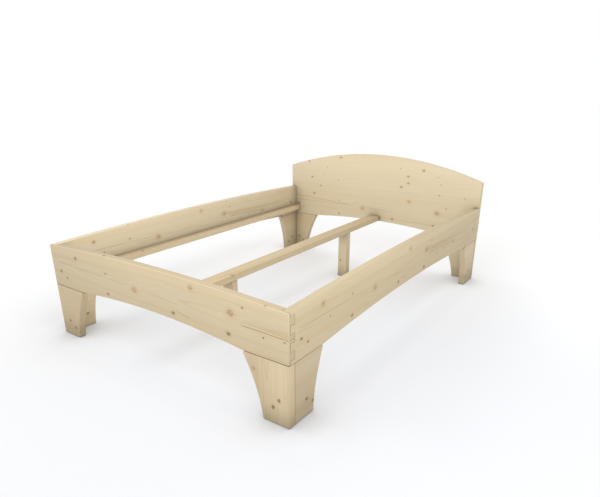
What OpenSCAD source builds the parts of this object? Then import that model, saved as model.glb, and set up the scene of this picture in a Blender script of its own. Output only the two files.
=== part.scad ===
// Double bed frame of solid spruce boards.
// Millimetres. Z is up and the floor is z = 0. Y runs from the foot end to the head end.
// The origin lies on the floor under the middle of the bed.
// Left and right are as seen by a person who stands at the foot end and looks to the head end.

/* [Sleeping size] */
// Width of the mattress
mattress_w = 1400; // [1200:10:1600]
// Length of the mattress
mattress_l = 2000; // [1900:10:2200]
// Free space between the mattress and each board
mattress_gap = 2; // [1:0.5:10]

/* [Boards] */
// Thickness of the head board, foot board, side rails and leg boards
board_t = 36; // [34:1:42]
// Height of the foot board and the side rails at the corners
rail_h = 206; // [204:1:230]
// How far the top edges of the foot board and side rails bow up in the middle
top_rise = 22; // [5:1:30]
// How far the bottom edges arch up in the middle
bottom_rise = 30; // [10:1:34]
// Height of the head board at its two ends
head_h = 368; // [320:1:420]
// How far the top edge of the head board rises in the middle
head_rise = 121; // [60:1:150]
// Rounding of the four outer upright edges of the bed
edge_r = 4; // [1:0.5:6]

/* [Corner dovetails] */
// Number of pins at each corner
pin_count = 3; // [2:1:3]
// Distance from one pin to the next
pin_pitch = 70; // [62:1:71]
// Height of the lowest pin's middle above the bottom edge
pin_first = 35; // [30:1:38]
// Height of a pin at its narrow end
pin_narrow = 32; // [24:1:36]
// Sideways run of the pin's cheek over its depth
pin_flare = 4; // [2:0.5:6]
// Wood left standing in front of the tails
lap_t = 10; // [6:0.5:14]
// Gap around each tail
tail_gap = 0.2; // [0.1:0.05:0.5]

/* [Corner legs] */
// Height of the legs
leg_h = 272; // [240:1:320]
// Width of a leg's end board at the top
leg_end_top = 228; // [212:1:260]
// Width of a leg's end board at the floor
leg_end_foot = 128; // [100:1:150]
// Width of a leg along the side at the top, with the end board's edge
leg_side_top = 230; // [212:1:260]
// Width of a leg along the side at the floor, with the end board's edge
leg_side_foot = 160; // [130:1:180]
// Radius of the hollow curve of the legs' free edges
leg_curve_r = 730; // [500:10:1500]
// Rounding of the free top corner of each leg board
leg_corner_r = 10; // [3:1:16]

/* [Slat supports] */
// Height of the supports' top faces above the bottom edge of the rails
support_up = 66; // [60:1:90]
// Width of the side cleats
cleat_w = 40; // [30:1:50]
// Height of the side cleats
cleat_h = 36; // [28:1:44]
// Width of the centre beam
beam_w = 80; // [60:1:110]
// Height of the centre beam
beam_h = 32; // [28:1:36]
// Play at each end of the cleats and the centre beam
support_play = 0.5; // [0.2:0.1:2]

/* [Centre legs] */
// Width of a centre leg across the bed
centre_leg_w = 66; // [50:1:80]
// Depth of a centre leg along the bed
centre_leg_d = 40; // [30:1:60]
// From the foot board's inner face to the middle of the centre leg near it
centre_leg_foot_in = 459; // [300:1:700]
// From the head board's inner face to the middle of the centre leg near it
centre_leg_head_in = 422; // [300:1:700]

/* [Dowels] */
// Diameter of the dowels between legs and boards
lock_dowel_d = 12; // [10:1:14]
// Length of the dowels between legs and boards
lock_dowel_l = 80; // [60:1:90]
// Diameter of all other dowels
dowel_d = 10; // [8:1:12]
// Length of all other dowels
dowel_l = 50; // [44:1:54]
// Depth of the other dowels in a board's flat side
dowel_in_face = 24; // [20:1:26]
// Depth of the centre leg dowels in the beam
dowel_in_beam = 21; // [16:1:22]
// Gap around a dowel that the glue fills
dowel_gap = 0.3; // [0.15:0.05:0.5]
// Free depth at the end of each dowel hole
dowel_end_gap = 1; // [0.5:0.5:2]
// Bevel at both ends of each dowel
dowel_bevel = 1; // [0.5:0.5:2]
// Distance of the first leg dowel from the outer corner
lock_first = 80; // [70:1:90]
// Distance of the second leg dowel from the outer corner
lock_second = 180; // [150:1:190]
// Number of dowels that join the two boards of a leg
corner_dowel_count = 3; // [2:1:3]
// Distance of the lowest of these dowels from the floor
corner_dowel_first = 45; // [30:1:60]
// Distance from one of these dowels to the next
corner_dowel_pitch = 85; // [60:1:85]
// Number of dowels in each side cleat
cleat_dowel_count = 7; // [4:1:9]
// Distance of the outermost cleat dowels from the end boards
cleat_dowel_end = 122; // [115:1:130]
// Distance of the beam's end dowels from the beam's middle line
beam_dowel_out = 22; // [16:1:24]
// Distance of the centre leg dowels from the leg's middle line
centre_dowel_out = 16; // [12:1:18]

/* [Hidden] */
$fn = 96;
arc_fn = 720;
over = 1;
inner_w = mattress_w + 2 * mattress_gap;
inner_l = mattress_l + 2 * mattress_gap;
outer_w = inner_w + 2 * board_t;
outer_l = inner_l + 2 * board_t;
half_w = outer_w / 2;
half_l = outer_l / 2;
in_x = inner_w / 2;
in_y = inner_l / 2;
support_z = leg_h + support_up;
tail_l = board_t - lap_t;
mid_t = board_t / 2;
lock_half = lock_dowel_l / 2;
cleat_z = support_z - cleat_h / 2;
beam_z = support_z - beam_h / 2;
centre_leg_h = support_z - beam_h;
centre_leg_foot_y = centre_leg_foot_in - in_y;
centre_leg_head_y = in_y - centre_leg_head_in;
cleat_dowel_pitch = (inner_l - 2 * cleat_dowel_end) / (cleat_dowel_count - 1);
foot_span = half_w - leg_end_top;
side_span = half_l - leg_side_top;
rail_end_h = rail_h + arc_up(half_l, top_rise, in_y);

spruce = [0.86, 0.77, 0.6];
spruce_leg = [0.84, 0.74, 0.57];
spruce_support = [0.82, 0.72, 0.55];
beech = [0.76, 0.6, 0.42];

// Radius of the circle through an arc of this half span and rise.
function arc_r(half, rise) = (half * half + rise * rise) / (2 * rise);

// Height of such an arc above its own ends, at a distance from its middle.
function arc_up(half, rise, at) =
    sqrt(pow(arc_r(half, rise), 2) - at * at) - (arc_r(half, rise) - rise);

// Middle point of the leg's hollow curve, from its widths at the floor and at the top.
function curve_mid(foot, top) =
    let (dx = top - foot, run = sqrt(dx * dx + leg_h * leg_h),
        off = sqrt(leg_curve_r * leg_curve_r - run * run / 4))
    [(foot + top) / 2 + off * leg_h / run, leg_h / 2 - off * dx / run];

// A board seen from its flat side: bowed top edge, arched bottom edge, bottom corners at zero.
// Its ends stand past the half length by the spare length.
module board_outline(half, height, rise, arch_half, spare) {
    top_r = arc_r(half, rise);
    arch_r = arc_r(arch_half, bottom_rise);
    difference() {
        intersection() {
            translate([-half - spare, 0])
                square([2 * (half + spare), height + rise]);
            translate([0, height + rise - top_r])
                circle(r = top_r, $fn = arc_fn);
        }
        translate([0, bottom_rise - arch_r])
            circle(r = arch_r, $fn = arc_fn);
    }
}

// Pins at the end of a board, seen from the side of the bed. The wide root is at zero
// and the narrow end lies at tail_l. A positive grow makes them thicker.
module pin_shapes(grow) {
    for (i = [0 : pin_count - 1])
        translate([0, pin_first + i * pin_pitch])
            pin_shape(pin_narrow / 2 + grow, grow);
}

module pin_shape(narrow, grow) {
    wide = narrow + pin_flare;
    slope = pin_flare / tail_l;
    polygon([[-over, -wide - over * slope], [tail_l + grow, -narrow + grow * slope],
        [tail_l + grow, narrow - grow * slope], [-over, wide + over * slope]]);
}

// A side rail's outline in its own plane, with its tails at both ends.
module rail_outline(grow) {
    difference() {
        board_outline(half_l, rail_h, top_rise, side_span, 0);
        for (end = [0, 1])
            mirror([end, 0])
                rail_end_cut(grow);
    }
}

module rail_end_cut(grow) {
    translate([in_y, 0])
        pin_shapes(tail_gap - grow);
    translate([half_l - lap_t - tail_gap + grow, -over])
        square([board_t, rail_h + top_rise]);
}

// The pocket that a rail's end fills in an end board, up to the given height.
module rail_pocket(top) {
    difference() {
        translate([in_y - over, -over])
            square([tail_l + over, top + over]);
        translate([in_y, 0])
            pin_shapes(0);
    }
}

// Turns an outline in the length and height plane into a board that stands along Y.
module along_y(width) {
    rotate([90, 0, 90])
        linear_extrude(height = width)
            children();
}

// Turns an outline in the width and height plane into a board that stands along X.
module along_x(depth) {
    translate([0, depth, 0])
        rotate([90, 0, 0])
            linear_extrude(height = depth)
                children();
}

// Both pockets of an end board.
module end_board_pockets(top) {
    for (side = [0, 1])
        mirror([side, 0, 0])
            translate([in_x, 0, leg_h])
                along_y(board_t + over)
                    rail_pocket(top);
}

// The room inside the bed's four outer faces, with rounded upright edges.
module outer_room() {
    translate([0, 0, -over])
        linear_extrude(height = leg_h + head_h + head_rise + 2 * over) {
            square([outer_w, outer_l - 2 * edge_r], center = true);
            square([outer_w - 2 * edge_r, outer_l], center = true);
            for (x = [-1, 1], y = [-1, 1])
                translate([x * (half_w - edge_r), y * (half_l - edge_r)])
                    circle(r = edge_r);
        }
}

// Hole for a dowel, from its mouth along +Z.
module dowel_hole(diameter, deep) {
    translate([0, 0, -over])
        cylinder(h = deep + dowel_end_gap + over, r = diameter / 2 + dowel_gap);
}

// A bevelled dowel from zero along +Z.
module dowel(diameter, length) {
    r = diameter / 2;
    rotate_extrude()
        polygon([[0, 0], [r - dowel_bevel, 0], [r, dowel_bevel],
            [r, length - dowel_bevel], [r - dowel_bevel, length], [0, length]]);
}

// Places its children at both lock dowels of one leg's end board, at the joint.
module at_end_locks() {
    for (out = [lock_first, lock_second])
        translate([half_w - out, half_l - mid_t, leg_h])
            children();
}

// Places its children at both lock dowels of one leg's side board, at the joint.
module at_side_locks() {
    for (out = [lock_first, lock_second])
        translate([half_w - mid_t, half_l - out, leg_h])
            children();
}

// Places its children at one leg's corner dowels, at the joint, pointing out of the bed.
module at_corner_dowels() {
    for (i = [0 : corner_dowel_count - 1])
        translate([half_w - mid_t, in_y, corner_dowel_first + i * corner_dowel_pitch])
            rotate([-90, 0, 0])
                children();
}

// Places its children at the dowels of the right cleat, at the joint, pointing into the rail.
module at_cleat_dowels() {
    for (i = [0 : cleat_dowel_count - 1])
        translate([in_x, -in_y + cleat_dowel_end + i * cleat_dowel_pitch, cleat_z])
            rotate([0, 90, 0])
                children();
}

// Places its children at the beam's head end dowels, at the joint, pointing to the head.
module at_beam_dowels() {
    for (side = [-1, 1])
        translate([side * beam_dowel_out, in_y, beam_z])
            rotate([-90, 0, 0])
                children();
}

// Places its children at a centre leg's dowels, at the joint with the beam, pointing up.
module at_centre_dowels(y) {
    for (side = [-1, 1])
        translate([side * centre_dowel_out, y, centre_leg_h])
            children();
}

// An end board at the head end, with its dowel holes and with pockets of the given height.
module end_board(height, rise, pocket_top) {
    difference() {
        intersection() {
            translate([0, in_y, leg_h])
                along_x(board_t + over)
                    board_outline(half_w, height, rise, foot_span, over);
            outer_room();
        }
        end_board_pockets(pocket_top);
        for (side = [0, 1])
            mirror([side, 0, 0])
                at_end_locks()
                    dowel_hole(lock_dowel_d, lock_half);
        at_beam_dowels()
            dowel_hole(dowel_d, dowel_in_face);
    }
}

module head_board() {
    color(spruce)
        end_board(head_h, head_rise, rail_end_h + tail_gap);
}

module foot_board() {
    color(spruce)
        mirror([0, 1, 0])
            end_board(rail_h, top_rise, rail_h + top_rise);
}

module side_rail() {
    difference() {
        translate([in_x, 0, leg_h])
            along_y(board_t)
                rail_outline(0);
        for (end = [0, 1])
            mirror([0, end, 0])
                at_side_locks()
                    dowel_hole(lock_dowel_d, lock_half);
        at_cleat_dowels()
            dowel_hole(dowel_d, dowel_in_face);
    }
}

module right_side_rail() {
    color(spruce)
        side_rail();
}

module left_side_rail() {
    color(spruce)
        mirror([1, 0, 0])
            side_rail();
}

// A leg board seen from its flat side, with a hollow free edge. Its outer corner is at zero,
// and some spare wood stands past it.
module leg_outline(foot, top) {
    mid = curve_mid(foot, top);
    reach = leg_curve_r + leg_corner_r;
    round_z = leg_h - leg_corner_r;
    round_x = mid[0] - sqrt(reach * reach - pow(round_z - mid[1], 2));
    touch = [round_x, round_z] + (mid - [round_x, round_z]) * leg_corner_r / reach;
    difference() {
        translate([-over, 0])
            square([top + over, leg_h]);
        translate(mid)
            circle(r = leg_curve_r, $fn = arc_fn);
        polygon([[round_x, round_z], [round_x, leg_h + over], [top + over, leg_h + over], touch]);
    }
    translate([round_x, round_z])
        circle(r = leg_corner_r);
}

// End board of the head right leg: it covers the side board's edge.
module leg_end_board() {
    difference() {
        intersection() {
            translate([half_w, in_y, 0])
                mirror([1, 0, 0])
                    along_x(board_t + over)
                        leg_outline(leg_end_foot, leg_end_top);
            outer_room();
        }
        at_end_locks()
            mirror([0, 0, 1])
                dowel_hole(lock_dowel_d, lock_half);
        at_corner_dowels()
            dowel_hole(dowel_d, dowel_in_face);
    }
}

// Side board of the head right leg: it starts at the end board's inner face.
module leg_side_board() {
    difference() {
        translate([in_x, half_l, 0])
            mirror([0, 1, 0])
                along_y(board_t)
                    intersection() {
                        leg_outline(leg_side_foot, leg_side_top);
                        translate([board_t, -over])
                            square([leg_side_top, leg_h + 2 * over]);
                    }
        at_side_locks()
            mirror([0, 0, 1])
                dowel_hole(lock_dowel_d, lock_half);
        at_corner_dowels()
            mirror([0, 0, 1])
                dowel_hole(dowel_d, dowel_l - dowel_in_face);
    }
}

// Moves a piece of the head right leg to another corner.
module to_corner(left, foot) {
    color(spruce_leg)
        mirror([left, 0, 0])
            mirror([0, foot, 0])
                children();
}

module foot_left_leg_end_board() {
    to_corner(1, 1)
        leg_end_board();
}

module foot_left_leg_side_board() {
    to_corner(1, 1)
        leg_side_board();
}

module foot_right_leg_end_board() {
    to_corner(0, 1)
        leg_end_board();
}

module foot_right_leg_side_board() {
    to_corner(0, 1)
        leg_side_board();
}

module head_left_leg_end_board() {
    to_corner(1, 0)
        leg_end_board();
}

module head_left_leg_side_board() {
    to_corner(1, 0)
        leg_side_board();
}

module head_right_leg_end_board() {
    to_corner(0, 0)
        leg_end_board();
}

module head_right_leg_side_board() {
    to_corner(0, 0)
        leg_side_board();
}

module cleat() {
    difference() {
        translate([in_x - cleat_w, -in_y + support_play, support_z - cleat_h])
            cube([cleat_w, inner_l - 2 * support_play, cleat_h]);
        at_cleat_dowels()
            mirror([0, 0, 1])
                dowel_hole(dowel_d, dowel_l - dowel_in_face);
    }
}

module right_slat_cleat() {
    color(spruce_support)
        cleat();
}

module left_slat_cleat() {
    color(spruce_support)
        mirror([1, 0, 0])
            cleat();
}

module centre_beam() {
    color(spruce_support)
        difference() {
            translate([-beam_w / 2, -in_y + support_play, support_z - beam_h])
                cube([beam_w, inner_l - 2 * support_play, beam_h]);
            for (end = [0, 1])
                mirror([0, end, 0])
                    at_beam_dowels()
                        mirror([0, 0, 1])
                            dowel_hole(dowel_d, dowel_l - dowel_in_face);
            for (y = [centre_leg_foot_y, centre_leg_head_y])
                at_centre_dowels(y)
                    dowel_hole(dowel_d, dowel_in_beam);
        }
}

module centre_leg(y) {
    color(spruce_support)
        difference() {
            translate([-centre_leg_w / 2, y - centre_leg_d / 2, 0])
                cube([centre_leg_w, centre_leg_d, centre_leg_h]);
            at_centre_dowels(y)
                mirror([0, 0, 1])
                    dowel_hole(dowel_d, dowel_l - dowel_in_beam);
        }
}

module foot_centre_leg() {
    centre_leg(centre_leg_foot_y);
}

module head_centre_leg() {
    centre_leg(centre_leg_head_y);
}

module leg_lock_dowels() {
    color(beech)
        for (left = [0, 1], foot = [0, 1])
            mirror([left, 0, 0])
                mirror([0, foot, 0]) {
                    at_end_locks()
                        translate([0, 0, -lock_half])
                            dowel(lock_dowel_d, lock_dowel_l);
                    at_side_locks()
                        translate([0, 0, -lock_half])
                            dowel(lock_dowel_d, lock_dowel_l);
                }
}

module leg_corner_dowels() {
    color(beech)
        for (left = [0, 1], foot = [0, 1])
            mirror([left, 0, 0])
                mirror([0, foot, 0])
                    at_corner_dowels()
                        translate([0, 0, dowel_in_face - dowel_l])
                            dowel(dowel_d, dowel_l);
}

module cleat_dowels() {
    color(beech)
        for (left = [0, 1])
            mirror([left, 0, 0])
                at_cleat_dowels()
                    translate([0, 0, dowel_in_face - dowel_l])
                        dowel(dowel_d, dowel_l);
}

module beam_end_dowels() {
    color(beech)
        for (foot = [0, 1])
            mirror([0, foot, 0])
                at_beam_dowels()
                    translate([0, 0, dowel_in_face - dowel_l])
                        dowel(dowel_d, dowel_l);
}

module centre_leg_dowels() {
    color(beech)
        for (y = [centre_leg_foot_y, centre_leg_head_y])
            at_centre_dowels(y)
                translate([0, 0, dowel_in_beam - dowel_l])
                    dowel(dowel_d, dowel_l);
}

foot_board();
head_board();
left_side_rail();
right_side_rail();
foot_left_leg_end_board();
foot_left_leg_side_board();
foot_right_leg_end_board();
foot_right_leg_side_board();
head_left_leg_end_board();
head_left_leg_side_board();
head_right_leg_end_board();
head_right_leg_side_board();
left_slat_cleat();
right_slat_cleat();
centre_beam();
foot_centre_leg();
head_centre_leg();
leg_lock_dowels();
leg_corner_dowels();
cleat_dowels();
beam_end_dowels();
centre_leg_dowels();
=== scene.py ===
import math

import bmesh
import bpy
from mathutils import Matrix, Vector
from mathutils.bvhtree import BVHTree


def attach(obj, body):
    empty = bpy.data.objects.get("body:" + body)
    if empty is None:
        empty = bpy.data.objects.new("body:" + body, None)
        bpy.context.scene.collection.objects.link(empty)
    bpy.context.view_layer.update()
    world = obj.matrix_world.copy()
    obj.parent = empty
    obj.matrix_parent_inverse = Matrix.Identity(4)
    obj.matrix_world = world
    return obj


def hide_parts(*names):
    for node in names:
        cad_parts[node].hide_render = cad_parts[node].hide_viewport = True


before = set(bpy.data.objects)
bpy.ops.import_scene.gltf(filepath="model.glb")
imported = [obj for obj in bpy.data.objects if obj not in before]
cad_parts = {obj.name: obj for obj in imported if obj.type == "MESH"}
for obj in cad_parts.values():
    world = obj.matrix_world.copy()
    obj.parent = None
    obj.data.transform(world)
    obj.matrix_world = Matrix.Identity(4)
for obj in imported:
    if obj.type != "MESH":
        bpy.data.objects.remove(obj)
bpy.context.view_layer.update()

# Sizes, in metres, as in the CAD source
BOARD = 0.036
IN_X, IN_Y = 0.702, 1.002
OUT_X, OUT_Y = IN_X + BOARD, IN_Y + BOARD
LEG_H = 0.272
RAIL_H, TOP_RISE, BOTTOM_RISE = 0.206, 0.022, 0.030
RAIL_TOP = LEG_H + RAIL_H
HEAD_H, HEAD_RISE = 0.368, 0.121
LEG_END_TOP, LEG_END_FOOT = 0.228, 0.128
LEG_SIDE_TOP, LEG_SIDE_FOOT = 0.230, 0.160
LEG_CURVE_R, LEG_CORNER_R = 0.730, 0.010
LAP = 0.010
TAIL = BOARD - LAP
PIN_COUNT, PIN_PITCH, PIN_FIRST = 3, 0.070, 0.035
PIN_NARROW, PIN_WIDE = 0.016, 0.020
GAP = 0.0002
SUPPORT_Z = 0.338
CLEAT_W, CLEAT_H = 0.040, 0.036
BEAM_W, BEAM_H = 0.080, 0.032
PLAY = 0.0005
CENTRE_LEG_W, CENTRE_LEG_D = 0.066, 0.040
CENTRE_LEG_Y = {"foot": -0.543, "head": 0.580}

# The side of the middle on which each end and each rail lies
ENDS = {"foot": -1, "head": 1}
SIDES = {"left": -1, "right": 1}

# Steps of each curved edge
END_ARCH_STEPS, END_TOP_STEPS = 48, 72
RAIL_ARCH_STEPS, RAIL_TOP_STEPS = 64, 96
LEG_HOLLOW_STEPS, LEG_CORNER_STEPS = 32, 10

# How far a cutter passes the wood that it cuts: inside and under it, at its end, and above it
OVERCUT, CUTTER_OUT, CUTTER_UP = 0.002, 0.010, 0.030

# Bevel widths: the four upright outer corners, the legs, every other arris, and the dovetails
CORNER_R, LEG_R, ARRIS_R, JOINT_R = 0.004, 0.003, 0.0025, 0.0017
BEVEL_STEPS = 3
# An edge sharper than the first is eased, and faces level to each other within the second are joined.
SHARP, LEVEL = math.radians(24), math.radians(0.05)
# Points nearer than this are on the same line, or are welded into one.
SAME, WELD = 1e-4, 1e-6
# The dovetail edges end this far behind the lap, and start this far above the legs.
BEHIND_LAP, ABOVE_LEG = 0.001, 0.002

# A corner of a mesh this near to another piece lies in a seam, and the seam shades what is within reach.
CONTACT, SEAM_REACH = 0.0006, 0.0040
# The seam's share at the rim of a flat face, and its gain, with which it is full before contact
SEAM_RIM, SEAM_GAIN = 0.5, 1.6
# An edge with less of a seam than this is free. A normal with more height than this faces up.
FREE, FACES_UP = 0.01, 0.3
# Top arrises below this height get a painted highlight.
HIGHLIGHT_Z = 0.505


# Outlines
def arc_up(half, rise, at):
    """Height of an arc over its own ends, at a distance from its middle."""
    r = (half * half + rise * rise) / (2 * rise)
    return math.sqrt(r * r - at * at) - (r - rise)


def span(start, stop, steps):
    return [start + (stop - start) * i / steps for i in range(steps + 1)]


def arc(x, z, r, start, stop, steps):
    """Points round (x, z), from one angle to another."""
    return [(x + r * math.cos(turn), z + r * math.sin(turn)) for turn in span(start, stop, steps)]


def rectangle(lo, hi, bottom, top):
    return [(lo, bottom), (hi, bottom), (hi, top), (lo, top)]


def end_outline(height, rise):
    """An end board seen from the front, as (x, z) points."""
    arch = OUT_X - LEG_END_TOP
    bottom = [(x, LEG_H + arc_up(arch, BOTTOM_RISE, x)) for x in span(-arch, arch, END_ARCH_STEPS)]
    top = [(x, LEG_H + height + arc_up(OUT_X, rise, x)) for x in span(OUT_X, -OUT_X, END_TOP_STEPS)]
    return [(-OUT_X, LEG_H)] + bottom + [(OUT_X, LEG_H)] + top


def pin_edges(i, grow):
    """Heights of one pin: low and high at the tail's end, then low and high at its root."""
    middle = LEG_H + PIN_FIRST + i * PIN_PITCH
    narrow, wide = PIN_NARROW + grow, PIN_WIDE + grow
    return middle - narrow, middle + narrow, middle - wide, middle + wide


def rail_outline():
    """A side rail seen from the side, with its tails, as (y, z) points."""
    arch, tip = OUT_Y - LEG_SIDE_TOP, IN_Y + TAIL - GAP
    bottom = [(y, LEG_H + arc_up(arch, BOTTOM_RISE, y)) for y in span(-arch, arch, RAIL_ARCH_STEPS)]
    top = [(y, RAIL_TOP + arc_up(OUT_Y, TOP_RISE, y)) for y in span(tip, -tip, RAIL_TOP_STEPS)]
    comb = [(tip, LEG_H)]
    for i in range(PIN_COUNT):
        low, high, root_low, root_high = pin_edges(i, GAP)
        comb += [(tip, low), (IN_Y, root_low), (IN_Y, root_high), (tip, high)]
    other = [(-y, z) for y, z in reversed(comb)]
    return bottom + comb + top + other


def socket_blocks(top, side):
    """The rooms that a rail's tails fill in an end board, one between each two pins, as (y, z) outlines."""
    near, far = side * (IN_Y - OVERCUT), side * (IN_Y + TAIL)
    near_z, far_z = [LEG_H - OVERCUT], [LEG_H - OVERCUT]
    for i in range(PIN_COUNT):
        low, high, root_low, root_high = pin_edges(i, 0)
        run = (root_high - high) / TAIL * OVERCUT
        near_z += [root_low - run, root_high + run]
        far_z += [low, high]
    near_z.append(top)
    far_z.append(top)
    return [
        [(near, near_z[k]), (far, far_z[k]), (far, far_z[k + 1]), (near, near_z[k + 1])]
        for k in range(0, len(far_z), 2)
    ]


def below_zero(angle):
    """The same direction as an angle between minus 360 and 0 degrees."""
    return angle - 2 * math.pi if angle > 0 else angle


def leg_outline(foot, top, start):
    """A leg board seen from its flat side, from its outer corner at zero, as (across, z) points.

    Its free edge is a hollow arc from the floor up to a rounded top corner, the nose, which it touches.
    """
    widen, hollow_r, nose_r = top - foot, LEG_CURVE_R, LEG_CORNER_R
    chord = math.hypot(widen, LEG_H)
    off = math.sqrt(hollow_r * hollow_r - chord * chord / 4)
    hollow_x = (foot + top) / 2 + off * LEG_H / chord
    hollow_z = LEG_H / 2 - off * widen / chord
    nose_z = LEG_H - nose_r
    nose_x = hollow_x - math.sqrt((hollow_r + nose_r) ** 2 - (nose_z - hollow_z) ** 2)
    touch_x = nose_x + (hollow_x - nose_x) * nose_r / (hollow_r + nose_r)
    touch_z = nose_z + (hollow_z - nose_z) * nose_r / (hollow_r + nose_r)
    at_floor = below_zero(math.atan2(0 - hollow_z, foot - hollow_x))
    at_touch = below_zero(math.atan2(touch_z - hollow_z, touch_x - hollow_x))
    hollow = arc(hollow_x, hollow_z, hollow_r, at_floor, at_touch, LEG_HOLLOW_STEPS)
    nose_start = math.atan2(touch_z - nose_z, touch_x - nose_x)
    nose = arc(nose_x, nose_z, nose_r, nose_start, math.pi / 2, LEG_CORNER_STEPS)
    return [(start, 0)] + hollow + nose[1:] + [(start, LEG_H)]


def bar_outline(height):
    """A bar that carries the slats, from end board to end board, as (y, z) points."""
    end = IN_Y - PLAY
    return rectangle(-end, end, SUPPORT_Z - height, SUPPORT_Z)


# Mesh making
def across(side):
    """Places (x, z) outlines that stand along X. side is the end: -1 foot, 1 head."""
    return lambda x, z, out: (x, side * out, z)


def along(side):
    """Places (y, z) outlines that stand along Y. side: -1 left, 1 right."""
    return lambda y, z, out: (side * out, y, z)


def prism(outline, lo, hi, place):
    """A closed mesh from an outline, drawn out from lo to hi and placed by across or along."""
    bm = bmesh.new()
    first = [bm.verts.new(place(p[0], p[1], lo)) for p in outline]
    last = [bm.verts.new(place(p[0], p[1], hi)) for p in outline]
    bm.faces.new(first)
    bm.faces.new(list(reversed(last)))
    count = len(outline)
    for i in range(count):
        bm.faces.new([first[i], last[i], last[(i + 1) % count], first[(i + 1) % count]])
    bmesh.ops.recalc_face_normals(bm, faces=bm.faces)
    return bm


def to_object(bm, name):
    mesh = bpy.data.meshes.new(name)
    bm.to_mesh(mesh)
    bm.free()
    o = bpy.data.objects.new(name, mesh)
    bpy.context.scene.collection.objects.link(o)
    return o


def settle(o):
    """Bakes an object's modifiers into its mesh."""
    dg = bpy.context.evaluated_depsgraph_get()
    mesh = bpy.data.meshes.new_from_object(o.evaluated_get(dg), depsgraph=dg)
    old = o.data
    o.modifiers.clear()
    o.data = mesh
    bpy.data.meshes.remove(old)
    mesh.name = o.name


def cut_away(o, cutters):
    """Cuts the cutters out of an object and removes them."""
    for cutter in cutters:
        m = o.modifiers.new("cut", "BOOLEAN")
        m.operation, m.solver, m.object = "DIFFERENCE", "EXACT", cutter
    settle(o)
    for cutter in cutters:
        mesh = cutter.data
        bpy.data.objects.remove(cutter)
        bpy.data.meshes.remove(mesh)


def clean(o):
    """Welds points that a cut doubled and joins faces that it split."""
    bm = bmesh.new()
    bm.from_mesh(o.data)
    bmesh.ops.remove_doubles(bm, verts=bm.verts, dist=WELD)
    bmesh.ops.dissolve_limit(
        bm, angle_limit=LEVEL, verts=bm.verts, edges=bm.edges, delimit={"NORMAL"}
    )
    bm.to_mesh(o.data)
    bm.free()


def edge_width(p):
    """The share of the widest bevel that an edge with its middle at p gets."""
    x, y, z = abs(p.x), abs(p.y), p.z
    if x > OUT_X - SAME and y > OUT_Y - SAME:
        return 1.0
    at_corner = x > IN_X - SAME and y > IN_Y - SAME
    if at_corner and y < OUT_Y - LAP + BEHIND_LAP and z > LEG_H + ABOVE_LEG:
        return JOINT_R / CORNER_R
    on_leg = x > IN_X - SAME or y > IN_Y - SAME
    return (LEG_R if on_leg and z < LEG_H + SAME else ARRIS_R) / CORNER_R


def weigh_edges(o):
    """Stores on each sharp edge how wide its bevel is."""
    bm = bmesh.new()
    bm.from_mesh(o.data)
    layer = bm.edges.layers.float.new("bevel_weight_edge")
    for edge in bm.edges:
        if len(edge.link_faces) == 2 and edge.calc_face_angle(0) > SHARP:
            edge[layer] = edge_width((edge.verts[0].co + edge.verts[1].co) / 2)
    for face in bm.faces:
        face.smooth = True
    bm.to_mesh(o.data)
    bm.free()


def ease(o):
    """Rounds the arrises of a board, and shades it so that its flat faces stay flat.

    Two material places tell the flat faces from the eased edges until mark_edges has read them.
    """
    weigh_edges(o)
    m = o.modifiers.new("ease", "BEVEL")
    m.width, m.segments, m.limit_method = CORNER_R, BEVEL_STEPS, "WEIGHT"
    m.material = 1
    o.data.materials.append(None)
    o.data.materials.append(None)
    m = o.modifiers.new("flat", "WEIGHTED_NORMAL")
    m.mode, m.weight, m.keep_sharp = "FACE_AREA", 100, True
    settle(o)
    return o


# The pieces
pieces = {}


def add(name, o):
    pieces[name] = o
    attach(o, "root")
    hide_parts(name)


def draw(name, outline, lo, hi, place):
    """The mesh that stands for one node, with its arrises still sharp."""
    return to_object(prism(outline, lo, hi, place), name + "_shown")


def add_end_board(name, side, height, rise, socket_top):
    o = draw(name, end_outline(height, rise), IN_Y, OUT_Y, across(side))
    cutters = []
    for s in SIDES.values():
        for k, block in enumerate(socket_blocks(socket_top, side)):
            bm = prism(block, IN_X, OUT_X + CUTTER_OUT, along(s))
            cutters.append(to_object(bm, f"cutter{s}{k}"))
    cut_away(o, cutters)
    clean(o)
    add(name, ease(o))


def add_side_rail(word, side):
    name = f"{word}_side_rail"
    o = draw(name, rail_outline(), IN_X, OUT_X, along(side))
    add(name, ease(o))


def add_slat_cleat(word, side):
    name = f"{word}_slat_cleat"
    o = draw(name, bar_outline(CLEAT_H), IN_X - CLEAT_W, IN_X, along(side))
    add(name, ease(o))


def add_leg_end_board(end, word):
    name = f"{end}_{word}_leg_end_board"
    outline = leg_outline(LEG_END_FOOT, LEG_END_TOP, 0)
    outline = [(SIDES[word] * (OUT_X - a), z) for a, z in outline]
    o = draw(name, outline, IN_Y, OUT_Y, across(ENDS[end]))
    add(name, ease(o))


def add_leg_side_board(end, word):
    name = f"{end}_{word}_leg_side_board"
    outline = leg_outline(LEG_SIDE_FOOT, LEG_SIDE_TOP, BOARD)
    outline = [(ENDS[end] * (OUT_Y - a), z) for a, z in outline]
    o = draw(name, outline, IN_X, OUT_X, along(SIDES[word]))
    add(name, ease(o))


def add_centre_beam():
    o = draw("centre_beam", bar_outline(BEAM_H), -BEAM_W / 2, BEAM_W / 2, along(1))
    add("centre_beam", ease(o))


def add_centre_leg(end, y):
    name = f"{end}_centre_leg"
    half = CENTRE_LEG_D / 2
    outline = rectangle(y - half, y + half, 0, SUPPORT_Z - BEAM_H)
    o = draw(name, outline, -CENTRE_LEG_W / 2, CENTRE_LEG_W / 2, along(1))
    add(name, ease(o))


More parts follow.
